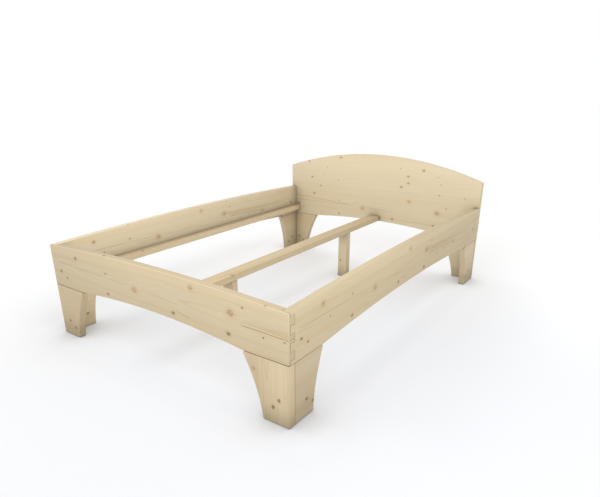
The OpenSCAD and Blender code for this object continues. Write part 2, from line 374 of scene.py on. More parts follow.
add_end_board("foot_board", -1, RAIL_H, TOP_RISE, RAIL_TOP + CUTTER_UP)
rail_end_top = RAIL_TOP + arc_up(OUT_Y, TOP_RISE, IN_Y)
add_end_board("head_board", 1, HEAD_H, HEAD_RISE, rail_end_top + GAP)
for word, side in SIDES.items():
    add_side_rail(word, side)
    add_slat_cleat(word, side)
for end in ENDS:
    for word in SIDES:
        add_leg_end_board(end, word)
        add_leg_side_board(end, word)
add_centre_beam()
for end, y in CENTRE_LEG_Y.items():
    add_centre_leg(end, y)


# Marks on the eased edges
def search_trees():
    """For each piece, its mesh in a form that can be asked for the nearest point."""
    trees = {}
    for name, o in pieces.items():
        bm = bmesh.new()
        bm.from_mesh(o.data)
        trees[name] = BVHTree.FromBMesh(bm)
        bm.free()
    return trees


def seam_shares(mesh, flat, others):
    """How much of a seam each corner of a mesh is, by its distance to the other pieces and the floor."""
    shares = []
    for v in mesh.vertices:
        found = [tree.find_nearest(v.co, SEAM_REACH)[3] for tree in others]
        # Nearness to the floor counts as a seam too: painted contact shade where the legs stand.
        gap = min([d for d in found if d is not None] + [SEAM_REACH, max(0, v.co.z)])
        rim = 1.0 if v.index not in flat or gap < CONTACT else SEAM_RIM
        shares.append(min(1.0, SEAM_GAIN * (SEAM_REACH - gap) / SEAM_REACH) * rim)
    return shares


def is_highlit(name, v):
    """Whether a corner of a mesh gets a painted highlight: on an upright corner, an outer top arris or a
    cleat's top arris.
    """
    to_x, to_y = OUT_X - abs(v.co.x), OUT_Y - abs(v.co.y)
    upright = max(to_x, to_y) < CORNER_R
    faces_up = v.normal.z > FACES_UP
    brow = faces_up and v.co.z < HIGHLIGHT_Z and min(to_x, to_y) < ARRIS_R
    ledge = faces_up and name.endswith("cleat")
    return upright or brow or ledge


def mark_piece(name, mesh, others):
    flat = {i for f in mesh.polygons if f.material_index == 0 for i in f.vertices}
    shares = seam_shares(mesh, flat, others)
    for mark in ("seam", "lit_edge", "edge"):
        mesh.attributes.new(mark, "FLOAT", "CORNER")
    seam, lit_edge, edge = (mesh.attributes[mark] for mark in ("seam", "lit_edge", "edge"))
    for f in mesh.polygons:
        for k, i in zip(f.loop_indices, f.vertices):
            eased = f.material_index == 1
            free = float(eased and i not in flat and shares[i] < FREE)
            highlit = is_highlit(name, mesh.vertices[i])
            plain = highlit or mesh.vertices[i].co.z < LEG_H
            seam.data[k].value = shares[i] * eased
            lit_edge.data[k].value = free * highlit
            # edge marks the other free arrises above the legs for painted shade.
            edge.data[k].value = free * (not plain)
    for f in mesh.polygons:
        f.material_index = 0


def mark_edges():
    """Stores three numbers on the eased edges of each mesh.

    seam is how near the edge is to another piece or the floor, for dark joint lines with painted shade and
    painted contact shade at the floor. The highlight mark is 1 on free edges with a painted highlight, and
    edge is 1 on the other free edges above the legs, which get painted shade.
    """
    trees = search_trees()
    for name, o in pieces.items():
        mark_piece(name, o.data, [tree for key, tree in trees.items() if key != name])


mark_edges()

# Node trees
AIR_SAMPLES = 6


class Tree:
    """A short way to write node trees."""

    def __init__(self, name):
        self.mat = bpy.data.materials.new(name)
        self.mat.use_nodes = True
        self.t = self.mat.node_tree
        self.t.nodes.clear()

    def feed(self, socket, value):
        """Links a socket to another one, or sets its own value."""
        if isinstance(value, bpy.types.NodeSocket):
            self.t.links.new(value, socket)
        else:
            socket.default_value = value

    def put(self, kind, ins=(), out=0, **settings):
        """Adds a node with its settings and inputs, and gives one of its outputs."""
        n = self.t.nodes.new(kind)
        for key, value in settings.items():
            setattr(n, key, value)
        for key, value in dict(ins).items():
            self.feed(n.inputs[key], value)
        return n.outputs[out] if n.outputs else None

    def end(self, kind, ins):
        """Ends the tree with one shader, and gives the material."""
        self.put("ShaderNodeOutputMaterial", {"Surface": self.put(kind, ins)})
        return self.mat

    def math(self, op, *values):
        return self.put("ShaderNodeMath", enumerate(values), operation=op)

    def times(self, first, *others):
        """The product of all values."""
        for value in others:
            first = self.math("MULTIPLY", first, value)
        return first

    def vec(self, op, *values):
        out = "Value" if op in ("LENGTH", "DOT_PRODUCT") else "Vector"
        return self.put("ShaderNodeVectorMath", enumerate(values), out, operation=op)

    def xyz(self, v):
        n = self.t.nodes.new("ShaderNodeSeparateXYZ")
        self.feed(n.inputs[0], v)
        return n.outputs[0], n.outputs[1], n.outputs[2]

    def join(self, x, y, z):
        return self.put("ShaderNodeCombineXYZ", {0: x, 1: y, 2: z})

    def noise(self, v, scale, detail=2.0, rough=0.5):
        ins = {"Vector": v, "Scale": scale, "Detail": detail, "Roughness": rough}
        return self.put("ShaderNodeTexNoise", ins)

    def smooth(self, v, start, stop, there=0.0, here=1.0):
        """Goes softly from the number there, while v is at start, to the number here, at stop."""
        ins = {"Value": v, "From Min": start, "From Max": stop, "To Min": there, "To Max": here}
        return self.put("ShaderNodeMapRange", ins, interpolation_type="SMOOTHSTEP")

    def mix(self, factor, a, b, blend="MIX"):
        """Mixes two colours, which are the sixth and seventh inputs of a Mix node."""
        n = self.t.nodes.new("ShaderNodeMix")
        n.data_type, n.blend_type = "RGBA", blend
        for i, value in ((0, factor), (6, a), (7, b)):
            self.feed(n.inputs[i], value)
        return n.outputs[2]

    def dim(self, colour, share):
        """A colour times a number."""
        return self.mix(1.0, colour, self.join(share, share, share), "MULTIPLY")

    def place(self):
        """The place on the object, which is the place in the row frame."""
        return self.put("ShaderNodeTexCoord", out="Object")

    def air(self, reach, depth, full):
        """A tone that is full in the open, and less by depth where everything within reach is closed."""
        open_share = self.put("ShaderNodeAmbientOcclusion", {"Distance": reach}, "AO", samples=AIR_SAMPLES)
        return self.math("MULTIPLY_ADD", open_share, depth, full - depth)


def rgb(r, g, b):
    """An sRGB colour in 0..255 as linear RGBA."""

    def linear(c):
        c /= 255
        return c / 12.92 if c < 0.04045 else ((c + 0.055) / 1.055) ** 2.4

    return (linear(r), linear(g), linear(b), 1.0)


# Colours of the spruce
EARLY, WARM, LATE = rgb(208, 192, 161), rgb(205, 184, 149), rgb(181, 156, 115)
PALE_BROWN, FIBRE, END_GRAIN = rgb(196, 178, 140), rgb(182, 161, 124), rgb(190, 166, 126)
# Dark joint lines with painted shade in them, painted highlights on edges, and painted shade on other
# arrises
SEAM_SHADE, EDGE_HIGHLIGHT, ARRIS_SHADE = rgb(84, 67, 45), rgb(232, 216, 184), rgb(150, 130, 98)
ACCENT, HALO = rgb(160, 124, 84), rgb(188, 164, 124)
# How much of their colour the late wood, the painted edge highlights, the shaded arrises and the seams take
LATE_SHARE, EDGE_HIGHLIGHT_SHARE, ARRIS_SHADE_SHARE, SEAM_SHADE_SHARE = 0.62, 0.55, 0.5, 0.8
# Ramps that say where in a noise a feature starts and is full, and some also the share there and here
LATE_END, RING_STRENGTH = (1.0, 0.93), (0.35, 0.72, 0.15, 1.0)
WARM_BANDS, PALE_PATCHES = (0.42, 0.62), (0.35, 0.7, 0.0, 0.25)
FIBRE_STREAKS, LINE_BREAKS = (0.42, 0.75, 0.0, 0.27), (0.2, 0.5)
# Rings, in metres: pitch, slow drift across a board and fine waver, and how steep their late part is
RING_PITCH, RING_DRIFT, RING_WAVER, LATE_POWER = 0.0046, 0.05, 0.006, 3.0
# How far noises are drawn out along the grain: shares of the length that they see
FIBRE_STRETCH, RAGGED_STRETCH, WAVER_STRETCH, PATCH_STRETCH = 0.02, 0.6, 0.5, 0.4
DRIFT_STRETCH, DRIFT_SQUEEZE = 0.35, 1.6
# Steps between the noises of one board, so that they differ
DRIFT_SEED, BAND_SEED, WOBBLE_TURN, BLOT_START = 3.1, 7.7, 0.7, (0.3, 0.1, 0.0)
# Faces: the slope at which wood counts as cut across, and at which a face is a top
CUT_SLOPE, TOP_SLOPE = (0.5, 0.9), (0.6, 0.95)
# Painted shade in inner corners and crevices: reach in metres, and depth of the shade
CORNER_SHADE, CREVICE_SHADE = (0.09, 0.6), (0.014, 0.45)
# How strongly seams show by height, on the legs, which have fine joints below their tops, and on the
# boards, where the dovetails are softer than the joint with the legs, and how little on top faces
LEG_SEAM = (LEG_H - 0.012, LEG_H - 0.004, 0.26, 0.8)
BOARD_SEAM = (LEG_H + 0.004, LEG_H + 0.016, 0.8, 0.62)
TOP_SEAM = (0.5, 0.9, 1.0, 0.3)
# The finish: roughness and what fibre and late wood add to it, their relief, and a thin clear coat
ROUGH, ROUGH_FIBRE, ROUGH_LATE = 0.40, 0.16, -0.06
RELIEF_FIBRE, RELIEF_LATE, RELIEF_STRENGTH, RELIEF_DEPTH = 0.35, 0.5, 0.25, 0.0004
IOR, COAT, COAT_ROUGH = 1.45, 0.06, 0.35

# Knots: length over height, how soon the bend of the grain round them fades, and its size
KNOT_LENGTH, BEND_FADE, GRAIN_BEND = 1.25, -0.16, 0.75
FAR_OFF, MM = 99.0, 0.001
# Shares of its length over which a single growth line fades in and out
FADE_IN, FADE_OUT = 0.075, 0.25
# Unevenness of their shape in metres, raggedness in radii, and rings inside and their share
KNOT_WOBBLE, RAGGED_STEP, KNOT_RINGS, KNOT_RING_SHARE = 0.005, 0.9, 2.7, 0.3
# Ramps in their radii: halo, whole knot, inside and outside of the rim, and the blots within
KNOT_HALO, KNOT_WHOLE = (3.0, 0.9), (1.25, 0.8)
RIM_IN, RIM_OUT, BLOT_WITHIN = (0.5, 0.85), (1.2, 0.9), (1.0, 0.6)
# Ramps in noises: the frayed halo and rim, the gaps in the rim, and the blots
HALO_FRAY, RIM_FRAY = (0.2, 0.65), (0.3, 0.6, 0.25, 0.95)
RIM_GAPS, BLOTS = (0.42, 0.56, 0.15, 1.0), (0.46, 0.6, 0.0, 0.75)
# The two kinds of knot: colours, strength of the halo, and how solid the inside is
DARK_KIND = {"core": rgb(160, 126, 86), "rim": rgb(98, 74, 47), "halo": 0.45, "fill": 0.9}
RED_KIND = {"core": rgb(193, 153, 112), "rim": rgb(138, 100, 64), "halo": 0.5, "fill": 0.55}
RED_STRENGTH = 0.95


def knots(t, at, spots):
    """Distance to the nearest knot in its own radii, and how far the grain bends round all of them.

    A knot with a fourth number ends at that depth, and the others go through.
    """
    near, bend = FAR_OFF, 0.0
    for u, v, r, *depth in spots:
        radius = r * MM
        scale = (1 / (radius * KNOT_LENGTH), 1 / radius, 1 / radius if depth else 0.0)
        start = tuple(-way * MM * size for way, size in zip((u, v, sum(depth)), scale))
        off = t.vec("MULTIPLY_ADD", at, scale, start)
        near = t.math("MINIMUM", t.vec("LENGTH", off), near)
        soft = t.math("EXPONENT", t.times(t.vec("DOT_PRODUCT", off, off), BEND_FADE))
        side = t.vec("DOT_PRODUCT", off, (0, radius, 0))
        bend = t.math("MULTIPLY_ADD", side, soft, bend)
    return near, bend


def streaks(t, u, v, lines):
    """The darkest of a few single growth lines at a place.

    Each is (u0, v0, u1, v1, half its width, strength), in millimetres, and fades in and out at its ends.
    """
    total = 0.0
    for u0, v0, u1, v1, half, strength in lines:
        slope = (v1 - v0) / (u1 - u0)
        off = t.math("MULTIPLY_ADD", u, -slope, (slope * u0 - v0) * MM)
        off = t.math("ABSOLUTE", t.math("ADD", off, v))
        line = t.smooth(off, half * MM, 0.0, 0.0, strength)
        length = (u1 - u0) * MM
        start = t.smooth(u, u0 * MM, u0 * MM + FADE_IN * length)
        stop = t.smooth(u, u1 * MM, u1 * MM - FADE_OUT * length)
        total = t.math("MAXIMUM", t.times(line, start, stop), total)
    return total


class Plank(Tree):
    """Spruce in plank space: u runs along the grain, v across it and w through the board, in metres.

    grain is (axis, sign, offset) for u, v and w, which turns the row frame into plank space.
    """

    def __init__(self, name, grain, seed):
        super().__init__(name)
        self.seed = seed
        spot = dict(zip("xyz", self.xyz(self.place())))
        facing = dict(zip("xyz", self.xyz(self.put("ShaderNodeNewGeometry", out="Normal"))))
        self.height, self.facing_up = spot["z"], facing["z"]
        self.cut_across = self.math("ABSOLUTE", facing[grain[0][0]])
        self.u, self.v, self.w = (
            self.math("MULTIPLY_ADD", spot[axis], sign, offset) for axis, sign, offset in grain
        )
        self.at = self.join(self.u, self.v, self.w)
        self.fibre = self.noise(self.drawn_out(FIBRE_STRETCH), scale=420.0, detail=3.0, rough=0.65)
        self.ragged = self.noise(self.drawn_out(RAGGED_STRETCH), scale=260.0, detail=3.0, rough=0.6)

    def drawn_out(self, share):
        """Plank space in which noise is drawn out along the grain, by one over the share."""
        return self.join(self.times(self.u, share), self.v, self.w)

    def wobbled(self):
        """Plank space with a small unevenness, for the knots."""
        at = self.vec("ADD", self.at, (self.seed, self.seed * WOBBLE_TURN, 0))
        wobble = self.noise(at, scale=60, detail=1.0)
        wobble = self.math("MULTIPLY_ADD", wobble, KNOT_WOBBLE, -KNOT_WOBBLE / 2)
        return self.vec("ADD", self.at, self.join(wobble, wobble, 0.0))

    def rings(self, bent, pith, tilt):
        """How many rings lie between a place and the pith, which runs beside the board."""
        along_u, along_v = self.times(self.u, DRIFT_STRETCH), self.times(self.v, DRIFT_SQUEEZE)
        at = self.join(along_u, along_v, self.seed + DRIFT_SEED)
        drift = self.math("MULTIPLY_ADD", self.noise(at, scale=2.2), RING_DRIFT, -RING_DRIFT / 2)
        off_v = self.math("ADD", self.math("SUBTRACT", bent, pith[0]), drift)
        off_w = self.math("MULTIPLY_ADD", self.u, tilt, self.math("SUBTRACT", self.w, pith[1]))
        off = self.math("SQRT", self.math("ADD", self.times(off_v, off_v), self.times(off_w, off_w)))
        waver = self.noise(self.drawn_out(WAVER_STRETCH), scale=9.0)
        return self.math("DIVIDE", self.math("MULTIPLY_ADD", waver, RING_WAVER, off), RING_PITCH)

    def late_wood(self, ring):
        """The dark end of each ring, stronger in some rings than in others."""
        part = self.math("FRACT", ring)
        late = self.times(self.math("POWER", part, LATE_POWER), self.smooth(part, *LATE_END))
        strength = self.noise(self.join(ring, self.seed, 0.0), scale=0.45, rough=0.7)
        return self.times(late, self.smooth(strength, *RING_STRENGTH))

    def grain_colour(self, ring, late, warm):
        band = self.noise(self.join(ring, self.seed + BAND_SEED, 0.0), scale=0.11, rough=0.6)
        at = self.join(self.times(self.u, PATCH_STRETCH), self.v, self.seed)
        patch = self.noise(at, scale=5.0)
        colour = self.mix(self.smooth(band, *WARM_BANDS, 0.0, warm), EARLY, WARM)
        colour = self.mix(self.times(late, LATE_SHARE), colour, LATE)
        colour = self.mix(self.smooth(patch, *PALE_PATCHES), colour, PALE_BROWN)
        return self.mix(self.smooth(self.fibre, *FIBRE_STREAKS), colour, FIBRE)

    def draw_lines(self, colour, bent, lines):
        drawn = streaks(self, self.u, bent, lines)
        return self.mix(self.times(drawn, self.smooth(self.fibre, *LINE_BREAKS)), colour, ACCENT)

    def knot_rim(self, near):
        """The dark rim of a knot, with gaps in it, and the dark blots inside it."""
        gaps = self.smooth(self.noise(self.at, scale=75.0, detail=1.0), *RIM_GAPS)
        blot = self.noise(self.vec("ADD", self.at, BLOT_START), scale=95.0, detail=1.0)
        rim = self.times(self.smooth(near, *RIM_IN), self.smooth(near, *RIM_OUT))
        rim = self.times(rim, self.smooth(self.ragged, *RIM_FRAY), gaps)
        within = self.times(self.smooth(near, *BLOT_WITHIN), self.smooth(blot, *BLOTS))
        return self.math("MAXIMUM", rim, within)

    def draw_knots(self, colour, near, strength, kind):
        """Knots of one kind, by the distance to the nearest one."""
        grey = self.times(self.smooth(near, *KNOT_HALO), kind["halo"])
        colour = self.mix(self.times(grey, self.smooth(self.ragged, *HALO_FRAY)), colour, HALO)
        step = self.math("MULTIPLY_ADD", self.ragged, RAGGED_STEP, -RAGGED_STEP / 2)
        near = self.math("ADD", near, step)
        ringed = self.times(self.math("FRACT", self.times(near, KNOT_RINGS)), KNOT_RING_SHARE)
        rim = self.knot_rim(near)
        inside = self.mix(rim, self.mix(ringed, kind["core"], kind["rim"]), kind["rim"])
        cover = self.times(self.smooth(near, *KNOT_WHOLE), self.math("MAXIMUM", rim, kind["fill"]))
        return self.mix(self.times(cover, strength), colour, inside)

    def shade_faces(self, colour, end_grain, ends, top):
        """Grain that is cut across is darker, and cut ends and top faces get tones of their own, which are
        painted light and shade.
        """
        cut = self.smooth(self.cut_across, *CUT_SLOPE, 0.0, end_grain)
        colour = self.mix(cut, colour, END_GRAIN)
        colour = self.dim(colour, self.smooth(self.cut_across, *CUT_SLOPE, 1.0, ends))
        return self.dim(colour, self.smooth(self.facing_up, *TOP_SLOPE, 1.0, top))

    def shade_places(self, colour, tones):
        # Slow changes of tone, most of which paint light and shade.
        for way, start, stop, there, here in tones:
            slow = self.smooth((self.u, self.v)[way], start, stop, there, here)
            colour = self.dim(colour, slow)
        return colour

    def shade_crevices(self, colour):
        # Paints the shade of inner corners and crevices into the colour.
        for reach, depth in (CORNER_SHADE, CREVICE_SHADE):
            colour = self.dim(colour, self.air(reach, depth, 1))
        return colour

    def mark(self, name):
        """A number that mark_edges stored on the mesh."""
        return self.put("ShaderNodeAttribute", out="Fac", attribute_name=name)

    def seam(self, leg):
        if leg:
            return self.times(self.mark("seam"), self.smooth(self.height, *LEG_SEAM))
        by_height = self.smooth(self.height, *BOARD_SEAM)
        return self.times(self.mark("seam"), by_height, self.smooth(self.facing_up, *TOP_SEAM))

    def shade_edges(self, colour, leg):
        # Paints a highlight on upright corners and outer top arrises, shade on other free arrises, and dark
        # joint lines with painted shade
        colour = self.mix(self.times(self.mark("lit_edge"), EDGE_HIGHLIGHT_SHARE), colour, EDGE_HIGHLIGHT)
        colour = self.mix(self.times(self.mark("edge"), ARRIS_SHADE_SHARE), colour, ARRIS_SHADE)
        return self.mix(self.times(self.seam(leg), SEAM_SHADE_SHARE), colour, SEAM_SHADE)

    def finish(self, colour, late):
        rough = self.math("MULTIPLY_ADD", self.fibre, ROUGH_FIBRE, ROUGH)
        rough = self.math("MULTIPLY_ADD", late, ROUGH_LATE, rough)
        relief = self.math("MULTIPLY_ADD", self.fibre, RELIEF_FIBRE, self.times(late, RELIEF_LATE))
        bump = {"Height": relief, "Strength": RELIEF_STRENGTH, "Distance": RELIEF_DEPTH}
        shader = {"Base Color": colour, "Roughness": rough, "Normal": self.put("ShaderNodeBump", bump)}
        coat = {"IOR": IOR, "Coat Weight": COAT, "Coat Roughness": COAT_ROUGH}
        return self.end("ShaderNodeBsdfPrincipled", {**shader, **coat})


def wood(
    name, grain, dark, red=(), pith=(0.12, -0.075), tilt=-0.02, seed=0.0, lines=(), warm=1.0,
    tone=1.0, tint=(1.0, 1.0, 1.0), tones=(), top=1.0, end_grain=0.35, ends=1.0, knot=0.95, leg=False,
):
    """The spruce of one board.

    dark and red are its knots, lines its single growth lines, and warm the share of warmer rings. pith is
    where the tree's heart runs, across and through the board, and tilt its slope. tones are slow changes
    of tone, each (ALONG or ACROSS, start, stop, tone there, tone here), most of them painted light and
    shade. top and ends are the tones of the top face and the cut ends, painted light and shade on them,
    end_grain the share of end grain, and knot the strength of the dark knots.
    """
    plank = Plank(name, grain, seed)
    at = plank.wobbled()
    near_dark, bend_dark = knots(plank, at, dark)
    near_red, bend_red = knots(plank, at, red)
    bend = plank.times(plank.math("ADD", bend_dark, bend_red), GRAIN_BEND)
    bent = plank.math("SUBTRACT", plank.v, bend)
    ring = plank.rings(bent, pith, tilt)
    late = plank.late_wood(ring)
    colour = plank.grain_colour(ring, late, warm)
    if lines:
        colour = plank.draw_lines(colour, bent, lines)
    if dark:
        colour = plank.draw_knots(colour, near_dark, knot, DARK_KIND)
    if red:
        colour = plank.draw_knots(colour, near_red, RED_STRENGTH, RED_KIND)
    colour = plank.shade_faces(colour, end_grain, ends, top)
    colour = plank.mix(1.0, colour, tuple(tone * c for c in tint) + (1.0,), "MULTIPLY")
    colour = plank.shade_places(colour, tones)
    colour = plank.shade_crevices(colour)
    colour = plank.shade_edges(colour, leg)
    return plank.finish(colour, late)


def dress(o, mat):
    o.data.materials.clear()
    o.data.materials.append(mat)


X, Y, Z = "x", "y", "z"
ALONG, ACROSS = 0, 1


def level_grain(along_axis, start, through_axis, face):
    """Plank space of a board that stands upright on the legs with level grain."""
    return ((along_axis, 1, -start), (Z, 1, -LEG_H), (through_axis, 1, -face))


# Knots of a plank: distance along the grain, height above its lower edge, radius, all in millimetres,
# and for some the depth at which they end. The first ones are on the foot board, head board and rails.
SHARED_KNOTS = [(66, 80, 6.2), (108, 52, 4.8), (434, 140, 4), (876, 58, 7), (1186, 49, 8)]
END_KNOTS = SHARED_KNOTS + [(209, 171, 7), (434, 41, 6), (1262, 177, 4)]
END_KNOTS += [(1360, 82, 3.2), (1457, 90, 3.2)]
RED_KNOTS = [(634, 107, 12), (993, 197, 9), (1201, 141, 13)]
FOOT_TOP_KNOTS = [(432, 223, 6, 9), (1371, 212, 4, 3)]
HIGH_KNOTS = [(162, 408, 6), (439, 452, 6.5), (188, 292, 6.5), (299, 323, 3), (326, 374, 3)]
HIGH_KNOTS += [(425, 288, 3), (269, 233, 5.5), (1082, 412, 7.5), (915, 413, 3.5), (975, 364, 6)]
HIGH_KNOTS += [(980, 320, 6), (930, 289, 7), (1186, 377, 3.2), (1210, 331, 3.2), (1206, 261, 4)]
HIGH_KNOTS += [(1378, 260, 3.5)]
RAIL_KNOTS = SHARED_KNOTS + [(261, 102, 3.5), (1262, 177, 3.5), (1360, 82, 3), (1457, 90, 3.5)]
RAIL_KNOTS += [(1603, 91, 5), (1831, 8, 5), (1959, 92, 7)]
RAIL_RED_KNOTS = RED_KNOTS + [(209, 171, 9)]
LEG_KNOTS = [(67, 81, 6.5), (109, 51, 5.5)]

# Growth lines that stand out: the heart line, a short dark one, the flame at the right end, two thin ones
LINES = [(40, 128, 480, 121, 5.5, 0.36), (440, 122, 612, 117, 2.2, 0.55)]
LINES += [(655, 113, 930, 104, 2.4, 0.4), (893, 73, 985, 58, 3.2, 0.6)]
LINES += [(1236, 119, 1700, 103, 1.9, 0.7), (1250, 126, 1700, 114, 1.8, 0.6)]
LINES += [(1275, 134, 1700, 126, 1.6, 0.45), (1290, 142, 1700, 138, 1.5, 0.3)]
LINES += [(1190, 10, 1700, 9, 1.4, 0.5), (1110, 182, 1700, 176, 1.5, 0.3)]
FOOT_LINES = LINES + [(1238, 105, 1700, 97, 3.6, 0.95)]
HEAD_LINES = [(20, 146, 270, 130, 6, 0.45), (200, 131, 570, 122, 6, 0.42)]
HEAD_LINES += [(30, 110, 640, 117, 5, 0.38), (90, 72, 450, 74, 4, 0.28)]
HEAD_LINES += [(655, 113, 930, 104, 3.5, 0.35), (700, 60, 1460, 48, 5, 0.3)]
RAIL_LINES = LINES + [(1242, 112, 1700, 93, 2.4, 0.95)]
RAIL_LINES += [(1215, 130, 1900, 118, 13, 0.3), (900, 84, 990, 70, 2.4, 0.45)]
RAIL_LINES += [(470, 106, 640, 100, 5, 0.2), (1205, 141, 1480, 134, 15, 0.26)]
BEAM_LINES = [(395, 60, 1900, 44, 5, 0.42), (430, 71, 1500, 70, 3.5, 0.5)]
BEAM_LINES += [(900, 30, 2060, 40, 4, 0.2), (340, 50, 560, 54, 4, 0.5)]
CLEAT_LINES = [(-40, 77, 2100, 76, 2.5, 0.4)]
NEAR_LEG_LINES = [(-60, 7, 400, 7, 2.0, 0.45), (-60, 17, 400, 17, 2.5, 0.35)]
NEAR_LEG_LINES += [(-60, 27, 400, 26, 1.8, 0.3), (60, 124, 400, 127, 2.0, 0.45)]
NEAR_LEG_LINES += [(-60, 172, 400, 178, 50, 0.2)]

# Painted shade makes the lower part of the sides a little darker, and painted light the part under the top
# arris a little lighter.
SIDE_SHADE = (ACROSS, 0.02, 0.17, 0.95, 1.01)
BROW_SHADE = (ACROSS, 0.15, 0.22, 1.0, 1.1)


def paint_foot_board():
    mat = wood(
        "spruce_foot",
        level_grain(X, -OUT_X, Y, -OUT_Y),
        END_KNOTS + FOOT_TOP_KNOTS,
        RED_KNOTS,
        lines=FOOT_LINES,
        tones=((ALONG, 0.0, 0.7, 0.92, 1.0), (ALONG, 0.9, 1.4, 1.0, 1.035), SIDE_SHADE, BROW_SHADE),
        top=0.83,
        tint=(1.0, 1.0, 0.98),
    )
    dress(pieces["foot_board"], mat)


def paint_head_board():
    left_end = (ALONG, 0.0, 0.35, 0.955, 1.0)
    # Painted light on the upper part of the head board.
    upwards = ((ACROSS, 0.02, 0.46, 0.985, 1.1), (ACROSS, 0.3, 0.46, 1.0, 1.05))
    mat = wood(
        "spruce_head",
        level_grain(X, -OUT_X, Y, IN_Y),
        END_KNOTS + HIGH_KNOTS,
        RED_KNOTS,
        pith=(0.13, -0.09),
        seed=4.0,
        lines=HEAD_LINES,
        warm=0.35,
        tones=(left_end, *upwards),
        tint=(1.03, 1.055, 1.09),
        knot=0.7,
    )
    dress(pieces["head_board"], mat)


# What sets one rail apart from the other. The tones along each rail paint light that is stronger to the
# foot, those across paint light under the top arris and shade low on the sides, and top is the painted
# tone of the top face.
RAIL_OWN_KNOTS = {"left": [(434, 224, 5, 34)], "right": [(434, 41, 6.5)]}
RAIL_LOOKS = {
    "left": {
        "tones": ((ALONG, 0.1, 1.9, 1.165, 1.045), (ACROSS, 0.14, 0.22, 0.99, 1.07)),
        "warm": 0.4,
        "tint": (1.01, 1.03, 1.07),
        "top": 1.02,
    },
    "right": {
        "tones": ((ALONG, 0.3, 1.9, 1.05, 0.925), SIDE_SHADE, BROW_SHADE),
        "warm": 1.0,
        "tint": (1.005, 1.0, 0.95),
        "top": 0.84,
    },
}


def paint_side_rail(word, side):
    mat = wood(
        f"spruce_{word}_rail",
        level_grain(Y, -OUT_Y + LAP, X, side * OUT_X),
        RAIL_KNOTS + RAIL_OWN_KNOTS[word],
        RAIL_RED_KNOTS,
        pith=(0.11, -0.08 * side),
        tilt=-0.012 * side,
        seed=9.0 + side,
        lines=RAIL_LINES,
        **RAIL_LOOKS[word],
    )
    dress(pieces[f"{word}_side_rail"], mat)


# Where the rail's inner face lies across the cleats' plank, and where a knot on their free edge
RAIL_FACE_V = 0.05
CLEAT_KNOT_V = {"left": 90, "right": 10}


def paint_slat_cleat(word, side):
    mat = wood(
        f"spruce_{word}_cleat",
        ((Y, 1, IN_Y), (X, 1, -side * IN_X + RAIL_FACE_V), (Z, 1, -SUPPORT_Z)),
        [(455, CLEAT_KNOT_V[word], 5, 0), (1330, 70, 5)],
        pith=(0.03, -0.03),
        seed=15.0 + side,
        lines=CLEAT_LINES,
        tint=(1.07, 1.08, 1.095),
    )
    dress(pieces[f"{word}_slat_cleat"], mat)


def paint_centre_beam():
    mat = wood(
        "spruce_beam",
        ((Y, 1, IN_Y), (X, 1, BEAM_W / 2), (Z, 1, -SUPPORT_Z)),
        [(1480, 22, 5)],
        [(440, 72, 10, 0)],
        pith=(0.05, -0.05),
        seed=21.0,
        lines=BEAM_LINES,
        tint=(0.98, 0.97, 0.93),
        # Darker towards the head end: painted shade.
        tones=((ALONG, 0.5, 1.9, 1.035, 0.925),),
    )
    dress(pieces["centre_beam"], mat)


CENTRE_LEG_KNOTS = {"foot": [], "head": [(112, 18, 4.5)]}
CENTRE_LEG_TONES = {"foot": 1.03, "head": 1.08}


def paint_centre_leg(end, y):
    mat = wood(
        f"spruce_{end}_centre_leg",
        ((Z, 1, 0.0), (X, 1, CENTRE_LEG_W / 2), (Y, 1, -y + CENTRE_LEG_D / 2)),
        CENTRE_LEG_KNOTS[end],
        pith=(0.02, -0.02),
        seed=27.0 + y,
        tone=CENTRE_LEG_TONES[end],
        tint=(1.0, 1.0, 1.02),
    )
    dress(pieces[f"{end}_centre_leg"], mat)


# The near leg is the only one with upright grain on its end board.
NEAR_LEG = "foot_right"
LEG_LOOK = {"leg": True, "knot": 1.0, "end_grain": 0.0}
# The tones of each leg board and of its cut ends paint the light and shade on it.
LEG_END_TONES = {"foot_left": 0.925, "foot_right": 1.09, "head_left": 0.955, "head_right": 0.95}
LEG_SIDE_TONES = {"foot_left": 1.18, "foot_right": 0.98, "head_left": 0.955, "head_right": 1.04}
LEG_END_KNOTS = {"foot_left": LEG_KNOTS, "head_left": LEG_KNOTS, "head_right": []}
LEG_SIDE_KNOTS = {
    "foot_left": [(92, 72, 6)],
    "foot_right": [(84, 79, 6.5), (127, 50, 5.5)],
    "head_left": LEG_KNOTS,
    "head_right": LEG_KNOTS,
}
LEG_CUT_END_TONES = {"foot_left": 1.16, "head_left": 1.0, "head_right": 1.0}
# The legs' lowest centimetres are lighter: painted light from the pale floor.
FLOOR_GLOW = (ACROSS, 0.0, 0.055, 1.3, 1.0)
# The plank of a side board starts this far past the inner face of the end boards.
SIDE_BOARD_START = 0.008


def paint_near_leg_end_board():
    mat = wood(
        "spruce_leg_fr_end",
        ((Z, 1, 0.0), (X, -1, OUT_X), (Y, 1, OUT_Y)),
        [(110, 49, 6.5), (72, 78, 7.5)],
        [(211, 169, 7)],
        pith=(0.10, -0.06),
        seed=31.0,
        lines=NEAR_LEG_LINES,
        tone=LEG_END_TONES[NEAR_LEG],
        # Painted light from the floor on the lowest part; across, the board is darker towards its inner
        # edge.
        tones=(
            (ALONG, 0.0, 0.02, 1.15, 1.0),
            (ALONG, 0.02, 0.15, 1.04, 1.0),
            (ACROSS, 0.06, 0.17, 1.035, 0.94),
        ),
        **LEG_LOOK,
    )
    dress(pieces[f"{NEAR_LEG}_leg_end_board"], mat)


